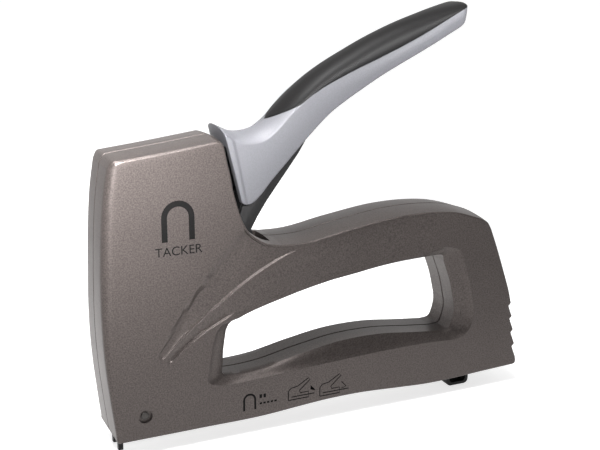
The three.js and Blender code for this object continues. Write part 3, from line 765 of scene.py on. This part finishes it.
def housingScrew(name, x, z):
    # pan head with a rounded crown and a cross recess, its shaft through the casting's boss
    f = screwForm
    head = rodPiece(name, f["headRadius"], f["under"], f["top"], x, z, 40)
    roundRims(0.55, 4)
    shaft = rodPiece(name + "Shaft", f["shaft"], f["shaftEnd"], f["under"] + 0.4, x, z, 24)
    cutWith(head, shaft, "UNION")
    w, span = f["crossWidth"] / 2, f["crossSpan"] / 2
    floor, above = f["top"] - f["crossDepth"], f["top"] + 1
    cutWith(head, boxPiece("slotOne", (x - span, floor, z - w), (x + span, above, z + w)))
    cutWith(head, boxPiece("slotTwo", (x - w, floor, z - span), (x + w, above, z + span)))
    smoothByAngle(head, 35)
    return head


for number, (x, z) in enumerate(housingRooms["screws"], 1):
    screw = housingScrew(f"casting_screw_{number}", x, z)
    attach(screw, "housing")
    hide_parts(f"housing_screw_{number}")
    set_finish(screw, "zinc")

for side, node in ((-1, "left_nose_pin"), (1, "right_nose_pin")):
    low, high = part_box(node)
    x, z = (low.x + high.x) / 2 / mm, (low.z + high.z) / 2 / mm
    pin = rodPiece(node + "_made", (high.x - low.x) / 2 / mm, low.y / mm, high.y / mm, x, z, 40)
    roundRims(0.3, 3)
    smoothByAngle(pin, 40)
    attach(pin, "housing")
    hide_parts(node)
    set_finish(pin, "steel")
print("screws and pins done")


# springs

springForms = {
    "main_spring": dict(axis="Z", radius=6.0, wire=0.9, turns=9, body="housing",
                        joint="hammer_slide", keep=0.652, grow=(0, 0, 1)),
    "pusher_spring": dict(axis="X", radius=1.55, wire=0.3, turns=46, body="magazine",
                          joint="pusher_slide", keep=0.668, grow=(1, 0, 0)),
    "return_spring": dict(axis="Y", radius=4.6, wire=0.55, turns=6, body="housing", joint=None),
}


def coilSpring(node, form):
    # wire swept round and along its axis as one grid, with closed ends
    low, high = [np.array(v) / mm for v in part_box(node)]
    middle = (low + high) / 2
    axis = "XYZ".index(form["axis"])
    side, up = [k for k in range(3) if k != axis]
    steps = form["turns"] * 20
    turn = np.linspace(0, form["turns"] * 2 * math.pi, steps + 1)
    start, end = low[axis] + form["wire"], high[axis] - form["wire"]
    path = np.zeros((steps + 1, 3))
    path[:, axis] = np.linspace(start, end, steps + 1)
    path[:, side] = middle[side] + form["radius"] * np.cos(turn)
    path[:, up] = middle[up] + form["radius"] * np.sin(turn)
    outward = np.zeros((steps + 1, 3))
    outward[:, side], outward[:, up] = np.cos(turn), np.sin(turn)
    along = np.zeros(3)
    along[axis] = 1
    rim = np.linspace(0, 2 * math.pi, 9)
    across, lengthways = np.cos(rim)[:, None], np.sin(rim)[:, None]
    rows = [path[k] + form["wire"] * (across * outward[k] + lengthways * along) for k in range(steps + 1)]
    rows = [np.repeat(path[:1], 9, axis=0)] + rows + [np.repeat(path[-1:], 9, axis=0)]
    spring = loftGrid(node + "_made", np.array(rows))
    smoothByAngle(spring, 60)
    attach(spring, form["body"])
    if form["joint"]:
        anchor = middle.copy()
        anchor[axis] = high[axis]
        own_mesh(spring)
    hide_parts(node)
    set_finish(spring, "spring_steel")
    return spring


for node, form in springForms.items():
    coilSpring(node, form)
print("springs done")


# printed marks on the left side

printForm = {"y": -13.03, "depth": 0.05}


def inkPiece(name, outline):
    return slabPiece(name, outline, printForm["y"], printForm["y"] + printForm["depth"])


def band(line, width):
    # a closed outline round a stroke of even width
    p = np.array(line, float)
    along = np.gradient(p, axis=0)
    along /= np.linalg.norm(along, axis=1)[:, None]
    normal = np.stack([-along[:, 1], along[:, 0]], axis=1) * width / 2
    return [tuple(v) for v in np.concatenate([p + normal, (p - normal)[::-1]])]


def archLine(x, z, half, leg, steps=10):
    turn = np.linspace(math.pi, 0, steps)
    arch = [(x + half * math.cos(a), z + half * math.sin(a)) for a in turn]
    return [(x - half, z - leg)] + arch + [(x + half, z - leg)]


def joinAll(name, pieces):
    bpy.ops.object.select_all(action="DESELECT")
    for piece in pieces:
        piece.select_set(True)
    bpy.context.view_layer.objects.active = pieces[0]
    bpy.ops.object.join()
    pieces[0].name = pieces[0].data.name = name
    return pieces[0]


printedMarks = {
    "emblem": dict(x=-66, z=98, half=5.6, leg=9.5, stroke=2.4),
    "caption": dict(text="TACKER", x=-66, z=82.8, size=5.2),
    "staple": dict(x=-37.1, z=15.4, half=2.5, leg=4.6, stroke=0.85),
    # rows of small bars: height, length of the row, number of bars, height of a bar
    "bars": [(15.4, 3.6, 2, 1.7), (12.6, 8.4, 5, 0.8)],
    "barStart": -32.6, "barWidth": 1.1, "sketchStroke": 0.42,
    # a sketch's outline of the tool, and where each one stands with how far its magazine is out
    "tool": [(0, 0.4), (0, 4.4), (1.2, 5.8), (4.2, 6.2), (9.4, 9.2), (10.2, 8.4), (6.4, 5.2), (5.2, 4.2),
             (5.6, 3), (9.4, 3), (9.4, 0.4), (0, 0.4)],
    "sketches": [(-19.4, 11.4, 0.0), (-4.6, 10.6, 1.6)],
}


def emblem():
    # a plain staple above the wording, with no frame
    e = printedMarks["emblem"]
    staple = inkPiece("emblemStaple", band(archLine(e["x"], e["z"], e["half"], e["leg"], 16),
                                           e["stroke"]))
    return joinAll("emblem_print", [staple])


def caption():
    # plain wording under the emblem
    c = printedMarks["caption"]
    bpy.ops.object.select_all(action="DESELECT")
    place = (c["x"] * mm, printForm["y"] * mm, c["z"] * mm)
    bpy.ops.object.text_add(location=place, rotation=(math.pi / 2, 0, 0))
    text = bpy.context.object
    text.data.body = c["text"]
    text.data.align_x = "CENTER"
    text.data.size = c["size"] * mm
    text.data.extrude = printForm["depth"] / 2 * mm
    bpy.ops.object.convert(target="MESH")
    text = bpy.context.object
    text.name = text.data.name = "caption_print"
    applyPlace(text)
    return text


def loadingMarks():
    # staple size mark and two small loading sketches on the base
    m = printedMarks
    staple, stroke, wide = m["staple"], m["sketchStroke"], m["barWidth"]
    arch = archLine(staple["x"], staple["z"], staple["half"], staple["leg"])
    marks = [inkPiece("stapleMark", band(arch, staple["stroke"]))]
    for row, (z, length, count, tall) in enumerate(m["bars"]):
        for k in range(count):
            x = m["barStart"] + k * length / count
            bar = [(x, z), (x + wide, z), (x + wide, z + tall), (x, z + tall)]
            marks.append(inkPiece(f"sizeMark{row}{k}", bar))
    for k, (x, z, out) in enumerate(m["sketches"]):
        outline = [(x + u, z + v) for u, v in m["tool"]]
        rail = [(x + 1.4, z + 1.7), (x + 12.2 + out, z + 1.7)]
        arrow = [(x + 10.4, z + 3.9 - out), (x + 12.6, z + 2.9), (x + 10.4, z + 5.4)]
        marks.append(inkPiece(f"sketchTool{k}", band(outline, stroke)))
        marks.append(inkPiece(f"sketchRail{k}", band(rail, stroke)))
        marks.append(inkPiece(f"sketchArrow{k}", band(arrow, stroke)))
    return joinAll("loading_print", marks)


prints = [emblem(), caption(), loadingMarks()]
for piece in prints:
    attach(piece, "housing")
    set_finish(piece, "black_plastic")
print("printed marks done")


# materials


def newMaterial(name):
    m = bpy.data.materials.new(name)
    m.use_nodes = True
    tree = m.node_tree
    place = tree.nodes.new("ShaderNodeTexCoord")
    return m, tree, tree.nodes["Principled BSDF"], place.outputs["Object"]


def noiseOf(tree, place, scale, detail=2.0, rough=0.5):
    node = tree.nodes.new("ShaderNodeTexNoise")
    node.inputs["Scale"].default_value = scale
    node.inputs["Detail"].default_value = detail
    node.inputs["Roughness"].default_value = rough
    tree.links.new(place, node.inputs["Vector"])
    return node.outputs["Fac"]


def rampOf(tree, value, stops):
    node = tree.nodes.new("ShaderNodeValToRGB")
    ramp = node.color_ramp
    while len(ramp.elements) < len(stops):
        ramp.elements.new(0.5)
    for element, (at, colour) in zip(ramp.elements, stops):
        element.position = at
        element.color = (*colour, 1)
    tree.links.new(value, node.inputs["Fac"])
    return node.outputs["Color"]


def bumpOf(tree, value, distance, strength=1.0):
    node = tree.nodes.new("ShaderNodeBump")
    node.inputs["Distance"].default_value = distance
    node.inputs["Strength"].default_value = strength
    tree.links.new(value, node.inputs["Height"])
    return node.outputs["Normal"]


def castingPaint():
    # bronze-grey metallic paint: fine flakes over a slightly cloudy base
    f = {"bright": (0.084, 0.0705, 0.066), "dark": (0.046, 0.038, 0.0355), "flakes": 1700, "cloud": 60}
    m, tree, shader, place = newMaterial("castingPaint")
    flakes = noiseOf(tree, place, f["flakes"], 1.0, 0.6)
    colour = rampOf(tree, flakes, ((0.3, f["dark"]), (0.7, f["bright"])))
    tree.links.new(colour, shader.inputs["Base Color"])
    rough = rampOf(tree, noiseOf(tree, place, f["cloud"], 2.0), ((0.3, (0.42,) * 3), (0.7, (0.46,) * 3)))
    tree.links.new(rough, shader.inputs["Roughness"])
    tree.links.new(bumpOf(tree, flakes, 0.00002, 0.2), shader.inputs["Normal"])
    shader.inputs["Metallic"].default_value = 0.65
    return m


def silverPaint():
    f = {"dark": (0.093, 0.093, 0.102), "bright": (0.106, 0.106, 0.117), "grain": 2200, "cloud": 45}
    m, tree, shader, place = newMaterial("silverPaint")
    grain = noiseOf(tree, place, f["grain"], 1.0)
    colour = rampOf(tree, grain, ((0.3, f["dark"]), (0.7, f["bright"])))
    tree.links.new(colour, shader.inputs["Base Color"])
    rough = rampOf(tree, noiseOf(tree, place, f["cloud"], 2.0), ((0.3, (0.5,) * 3), (0.7, (0.56,) * 3)))
    tree.links.new(rough, shader.inputs["Roughness"])
    tree.links.new(bumpOf(tree, grain, 0.00001, 0.15), shader.inputs["Normal"])
    shader.inputs["Metallic"].default_value = 0.25
    return m


def plainFinish(name, low, high, roughLow, roughHigh, metallic, scale, bump, stretch=None):
    m, tree, shader, place = newMaterial(name)
    if stretch:
        mapping = tree.nodes.new("ShaderNodeMapping")
        mapping.inputs["Scale"].default_value = stretch
        tree.links.new(place, mapping.inputs["Vector"])
        place = mapping.outputs["Vector"]
    grain = noiseOf(tree, place, scale, 3.0)
    tree.links.new(rampOf(tree, grain, ((0.3, low), (0.7, high))), shader.inputs["Base Color"])
    rough = rampOf(tree, grain, ((0.3, (roughLow,) * 3), (0.7, (roughHigh,) * 3)))
    tree.links.new(rough, shader.inputs["Roughness"])
    tree.links.new(bumpOf(tree, grain, bump, 0.5), shader.inputs["Normal"])
    shader.inputs["Metallic"].default_value = metallic
    return m


finishes = {
    "casting": castingPaint(),
    "silver_handle": silverPaint(),
    "soft_grip": plainFinish("softGripRubber", (0.0045, 0.0043, 0.0044), (0.0075, 0.0072, 0.0073),
                             0.42, 0.5, 0.0, 2200, 0.00001),
    "black_steel": plainFinish("blackenedSteel", (0.005, 0.0047, 0.005), (0.009, 0.0085, 0.009),
                               0.42, 0.55, 0.2, 900, 0.00001),
    "steel": plainFinish("brightSteel", (0.36, 0.36, 0.37), (0.52, 0.52, 0.53),
                         0.25, 0.42, 0.95, 260, 0.00003, (1, 8, 8)),
    "spring_steel": plainFinish("springWire", (0.2, 0.2, 0.21), (0.34, 0.34, 0.35),
                                0.25, 0.4, 0.95, 800, 0.00002),
    "zinc": plainFinish("zincPlate", (0.52, 0.53, 0.55), (0.68, 0.69, 0.7),
                        0.22, 0.38, 0.95, 420, 0.00002),
    "rubber_pad": plainFinish("rubberPad", (0.012, 0.012, 0.012), (0.03, 0.03, 0.03),
                              0.75, 0.92, 0.0, 700, 0.00008),
    "black_plastic": plainFinish("blackPlastic", (0.014, 0.014, 0.015), (0.028, 0.028, 0.029),
                                 0.45, 0.62, 0.0, 1300, 0.00006),
}
darkPin = plainFinish("darkPin", (0.03, 0.027, 0.025), (0.05, 0.045, 0.042),
                      0.35, 0.45, 0.6, 700, 0.00001)
ink = plainFinish("printedInk", (0.003, 0.003, 0.003), (0.006, 0.0055, 0.0055),
                  0.7, 0.8, 0.0, 1500, 0.00001)

for dull, specular in ((finishes["soft_grip"], 0.08), (ink, 0.08), (finishes["black_steel"], 0.3)):
    dull.node_tree.nodes["Principled BSDF"].inputs["Specular IOR Level"].default_value = specular

nodeSlots = {}
for part in frame["record"].get("subparts", []):
    if isinstance(part, dict) and "node" in part:
        nodeSlots[part["node"]] = part.get("slot")
for o in list(bpy.context.scene.objects):
    if o.type != "MESH":
        continue
    slotName = o.get("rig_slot") or nodeSlots.get(o.get("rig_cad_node", ""))
    if o.name.endswith("_print"):
        finish = ink
    elif o.name.endswith("nose_pin_made"):
        finish = darkPin
    else:
        finish = finishes.get(slotName, finishes["steel"])
    o.data.materials.clear()
    o.data.materials.append(finish)
print("materials done")


# studio

studioSetup = {
    # gridded softboxes: one aimed at the head's upper corner, one at the handle, one overhead
    "lights": {
        "key_light": dict(place=(-0.16, -0.45, 0.32),
                          aim=(-0.12, 0, 0.165), size=0.07, energy=0.85, spread=30),
        "handle_light": dict(place=(0.06, -0.45, 0.42),
                             aim=(0.045, 0, 0.19), size=0.06, energy=0.2, spread=24),
        "top_light": dict(place=(-0.1, -0.05, 0.5),
                          aim=(-0.02, 0, 0.08), size=0.2, energy=0.6, spread=60),
    },
    "sky": ((0.0, 1.0), (0.35, 1.0), (0.7, 0.8), (1.0, 0.7)),
    "depthwise": (0.02, 1.1),
    "floorGlow": 0.72,
}


def studio():
    s = studioSetup
    bpy.ops.object.select_all(action="DESELECT")
    bpy.ops.mesh.primitive_plane_add(size=8, location=(0, 0, -0.0002))
    floor = bpy.context.object
    floor.name = "studio_floor"
    m, tree, shader, place = newMaterial("studioFloor")
    shade = rampOf(tree, noiseOf(tree, place, 3, 1.0), ((0.0, (0.6,) * 3), (1.0, (0.64,) * 3)))
    tree.links.new(shade, shader.inputs["Base Color"])
    shader.inputs["Roughness"].default_value = 0.9
    shader.inputs["Emission Color"].default_value = (1, 1, 1, 1)
    shader.inputs["Emission Strength"].default_value = s["floorGlow"]
    floor.data.materials.append(m)
    # pale tent: brightest round the horizon, darker overhead, and dim on the side it is seen from
    world = bpy.data.worlds.new("studio")
    bpy.context.scene.world = world
    world.use_nodes = True
    tree = world.node_tree
    split = tree.nodes.new("ShaderNodeSeparateXYZ")
    tree.links.new(tree.nodes.new("ShaderNodeTexCoord").outputs["Generated"], split.inputs["Vector"])
    height = rampOf(tree, split.outputs["Z"], [(at, (v / 2,) * 3) for at, v in s["sky"]])
    depthwise = tree.nodes.new("ShaderNodeMapRange")
    tree.links.new(split.outputs["Y"], depthwise.inputs["Value"])
    depthwise.inputs["From Min"].default_value = -1
    depthwise.inputs["From Max"].default_value = 1
    depthwise.inputs["To Min"].default_value = 2 * s["depthwise"][0]
    depthwise.inputs["To Max"].default_value = 2 * s["depthwise"][1]
    strength = tree.nodes.new("ShaderNodeMath")
    strength.operation = "MULTIPLY"
    tree.links.new(height, strength.inputs[0])
    tree.links.new(depthwise.outputs["Result"], strength.inputs[1])
    tree.nodes["Background"].inputs["Color"].default_value = (1, 1, 1, 1)
    tree.links.new(strength.outputs["Value"], tree.nodes["Background"].inputs["Strength"])
    for name, light in s["lights"].items():
        bpy.ops.object.light_add(type="AREA", location=light["place"])
        lamp = bpy.context.object
        lamp.name = name
        lamp.data.size = light["size"]
        lamp.data.energy = light["energy"]
        lamp.data.spread = math.radians(light["spread"])
        aim = Vector(light["aim"]) - Vector(light["place"])
        lamp.rotation_euler = aim.to_track_quat("-Z", "Y").to_euler()
    bpy.context.scene.view_settings.view_transform = "Standard"


studio()
